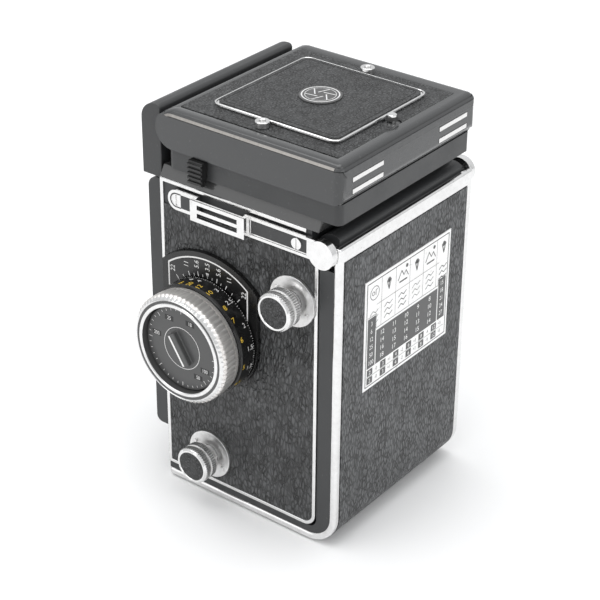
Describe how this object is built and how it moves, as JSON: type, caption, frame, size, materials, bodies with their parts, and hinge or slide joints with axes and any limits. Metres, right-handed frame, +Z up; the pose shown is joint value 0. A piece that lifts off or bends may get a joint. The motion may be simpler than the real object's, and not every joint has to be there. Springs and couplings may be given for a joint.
{
  "type": "twin lens reflex camera",
  "caption": "Box-shaped roll-film camera with two stacked lenses, folding waist-level hood, side focusing knob, film knobs, crank and hinged back.",
  "frame": {"origin": "middle of the tripod socket, on the plane of the feet", "axes": "+Z up, -Y towards the subject (lenses), +Y the hinged back, +X the side of the focusing knob"},
  "size_m": [0.1075, 0.0985, 0.15],
  "materials": {
    "black_casting": "die casting in semi-gloss black enamel",
    "matt_black": "sheet in matt black inside paint",
    "hood_enamel": "pressed sheet in glossy black enamel",
    "leatherette": "fine grained black covering",
    "bright_chrome": "polished chrome",
    "satin_chrome": "satin chrome",
    "steel": "ground steel",
    "mirror_glass": "front silvered",
    "ground_glass": "finely ground underside",
    "coated_glass": "coated lens",
    "black_scale": "glossy black with engraved figures",
    "printed_plate": "etched and printed plate",
    "white_enamel": "white paint",
    "black_plastic": "moulded",
    "spool_plastic": "moulded",
    "rubber_foot": "moulded"
  },
  "bodies": {
    "camera_body": {"body_casting": "black_casting", "film_gate": "matt_black", "reflex_mirror": "mirror_glass", "focusing_screen": "ground_glass", "body_leather": "leatherette", "side_trims": "bright_chrome", "top_deck": "hood_enamel", "strap_lugs": "bright_chrome", "lug_screws": "bright_chrome", "focus_scale_plate": "black_scale", "spool_flanges": "satin_chrome", "crank_plate": "satin_chrome", "counter_window": "coated_glass", "meter_housing": "hood_enamel", "meter_window": "ground_glass", "back_hinge_pin": "steel", "hood_base": "hood_enamel"},
    "upper_roller": {"upper_roller": "steel"},
    "lower_roller": {"lower_roller": "steel"},
    "crank": {"crank_arm": "satin_chrome"},
    "crank_handle": {"crank_handle": "satin_chrome"},
    "back": {"back_cover": "black_casting", "back_trim": "bright_chrome", "back_leather": "leatherette", "exposure_table": "printed_plate", "tripod_socket": "satin_chrome", "back_feet": "rubber_foot", "pressure_plate": "matt_black"},
    "back_latch": {"back_latch": "satin_chrome"},
    "focus_drive": {"focus_knob": "satin_chrome", "distance_dial": "black_scale"},
    "reminder_dial": {"reminder_dial": "black_scale"},
    "takeup_pull": {"takeup_spindle": "steel"},
    "takeup_knob": {"takeup_knob": "satin_chrome"},
    "supply_pull": {"supply_spindle": "steel"},
    "supply_knob": {"supply_knob": "satin_chrome"},
    "takeup_spool": {"takeup_spool": "spool_plastic"},
    "lens_board": {"lens_board": "black_casting", "viewing_barrel": "satin_chrome", "viewing_lens": "coated_glass", "taking_barrel": "satin_chrome", "taking_lens": "coated_glass", "sync_socket": "bright_chrome"},
    "shutter_wheel": {"shutter_wheel": "satin_chrome"},
    "aperture_wheel": {"aperture_wheel": "satin_chrome"},
    "release_button": {"release_button": "satin_chrome"},
    "hood_lid": {"hood_lid": "hood_enamel", "lid_leather": "leatherette", "finder_flap": "bright_chrome", "lid_badge": "printed_plate", "lid_stripes": "white_enamel", "lid_screws": "bright_chrome", "magnifier_frame": "black_plastic", "magnifier_lens": "coated_glass"},
    "finder_button": {"finder_button": "bright_chrome"},
    "left_hood_flap": {"left_hood_flap": "matt_black"},
    "right_hood_flap": {"right_hood_flap": "matt_black"},
    "rear_hood_flap": {"rear_hood_flap": "matt_black"},
    "left_hood_latch": {"left_hood_latch": "black_plastic"},
    "right_hood_latch": {"right_hood_latch": "black_plastic"}
  },
  "joints": [
    {"name": "back_hinge", "type": "hinge", "parent": "camera_body", "child": "back", "pos_m": [0, 0.0319, 0.1161], "axis": [1, 0, 0], "range_deg": [0, 110]},
    {"name": "back_latch_turn", "type": "hinge", "parent": "back", "child": "back_latch", "pos_m": [0, -0.0393, 0.0024], "axis": [1, 0, 0], "range_deg": [0, 70]},
    {"name": "hood_lid_hinge", "type": "hinge", "parent": "camera_body", "child": "hood_lid", "pos_m": [0, -0.0321, 0.1404], "axis": [1, 0, 0], "range_deg": [0, 90]},
    {"name": "left_flap_hinge", "type": "hinge", "parent": "camera_body", "child": "left_hood_flap", "pos_m": [0.0332, 0, 0.1356], "axis": [0, 1, 0], "range_deg": [0, 90]},
    {"name": "right_flap_hinge", "type": "hinge", "parent": "camera_body", "child": "right_hood_flap", "pos_m": [-0.0332, 0, 0.1356], "axis": [0, -1, 0], "range_deg": [0, 90]},
    {"name": "rear_flap_hinge", "type": "hinge", "parent": "camera_body", "child": "rear_hood_flap", "pos_m": [0, 0.0332, 0.1342], "axis": [-1, 0, 0], "range_deg": [0, 90]},
    {"name": "left_latch_slide", "type": "slide", "parent": "camera_body", "child": "left_hood_latch", "axis": [0, 0, -1], "range_m": [0, 0.002], "stiffness_N_per_m": 400, "springref_m": -0.001},
    {"name": "right_latch_slide", "type": "slide", "parent": "camera_body", "child": "right_hood_latch", "axis": [0, 0, -1], "range_m": [0, 0.002], "stiffness_N_per_m": 400, "springref_m": -0.001},
    {"name": "finder_button_press", "type": "slide", "parent": "hood_lid", "child": "finder_button", "axis": [0, 0, -1], "range_m": [0, 0.001], "stiffness_N_per_m": 500, "springref_m": -0.0005},
    {"name": "focus_turn", "type": "hinge", "parent": "camera_body", "child": "focus_drive", "pos_m": [0, -0.0163, 0.07], "axis": [1, 0, 0], "range_deg": [0, 240]},
    {"name": "lens_board_slide", "type": "slide", "parent": "camera_body", "child": "lens_board", "axis": [0, -1, 0], "range_m": [0, 0.0061]},
    {"name": "reminder_turn", "type": "hinge", "parent": "focus_drive", "child": "reminder_dial", "pos_m": [0, -0.0163, 0.07], "axis": [1, 0, 0], "continuous": true},
    {"name": "shutter_speed_turn", "type": "hinge", "parent": "lens_board", "child": "shutter_wheel", "pos_m": [-0.0175, 0, 0.072], "axis": [0, -1, 0], "range_deg": [0, 200]},
    {"name": "aperture_turn", "type": "hinge", "parent": "lens_board", "child": "aperture_wheel", "pos_m": [0.0175, 0, 0.072], "axis": [0, -1, 0], "range_deg": [0, 150]},
    {"name": "shutter_release_press", "type": "slide", "parent": "lens_board", "child": "release_button", "axis": [0, 1, 0], "range_m": [0, 0.0028], "stiffness_N_per_m": 500, "springref_m": -0.0005},
    {"name": "takeup_knob_pull", "type": "slide", "parent": "camera_body", "child": "takeup_pull", "axis": [1, 0, 0], "range_m": [0, 0.0055]},
    {"name": "takeup_knob_spin", "type": "hinge", "parent": "takeup_pull", "child": "takeup_knob", "pos_m": [0, 0.0192, 0.0942], "axis": [1, 0, 0], "continuous": true},
    {"name": "supply_knob_pull", "type": "slide", "parent": "camera_body", "child": "supply_pull", "axis": [1, 0, 0], "range_m": [0, 0.0055]},
    {"name": "supply_knob_spin", "type": "hinge", "parent": "supply_pull", "child": "supply_knob", "pos_m": [0, -0.0177, 0.0182], "axis": [1, 0, 0], "continuous": true},
    {"name": "crank_turn", "type": "hinge", "parent": "camera_body", "child": "crank", "pos_m": [0, -0.01, 0.076], "axis": [1, 0, 0], "continuous": true},
    {"name": "crank_handle_spin", "type": "hinge", "parent": "crank", "child": "crank_handle", "pos_m": [0, -0.01, 0.049], "axis": [1, 0, 0], "continuous": true},
    {"name": "takeup_spool_spin", "type": "hinge", "parent": "camera_body", "child": "takeup_spool", "pos_m": [0, 0.0192, 0.0942], "axis": [1, 0, 0], "continuous": true},
    {"name": "upper_roller_spin", "type": "hinge", "parent": "camera_body", "child": "upper_roller", "pos_m": [0, 0.0276, 0.086], "axis": [1, 0, 0], "continuous": true},
    {"name": "lower_roller_spin", "type": "hinge", "parent": "camera_body", "child": "lower_roller", "pos_m": [0, 0.0276, 0.0156], "axis": [1, 0, 0], "continuous": true}
  ],
  "couplings": [
    {"joint": "lens_board_slide", "follows": "focus_turn", "m_per_rad": 0.0014563},
    {"joint": "left_flap_hinge", "follows": "hood_lid_hinge", "ratio": 1},
    {"joint": "right_flap_hinge", "follows": "hood_lid_hinge", "ratio": 1},
    {"joint": "rear_flap_hinge", "follows": "hood_lid_hinge", "ratio": 1},
    {"joint": "takeup_spool_spin", "follows": "crank_turn", "ratio": 1}
  ]
}
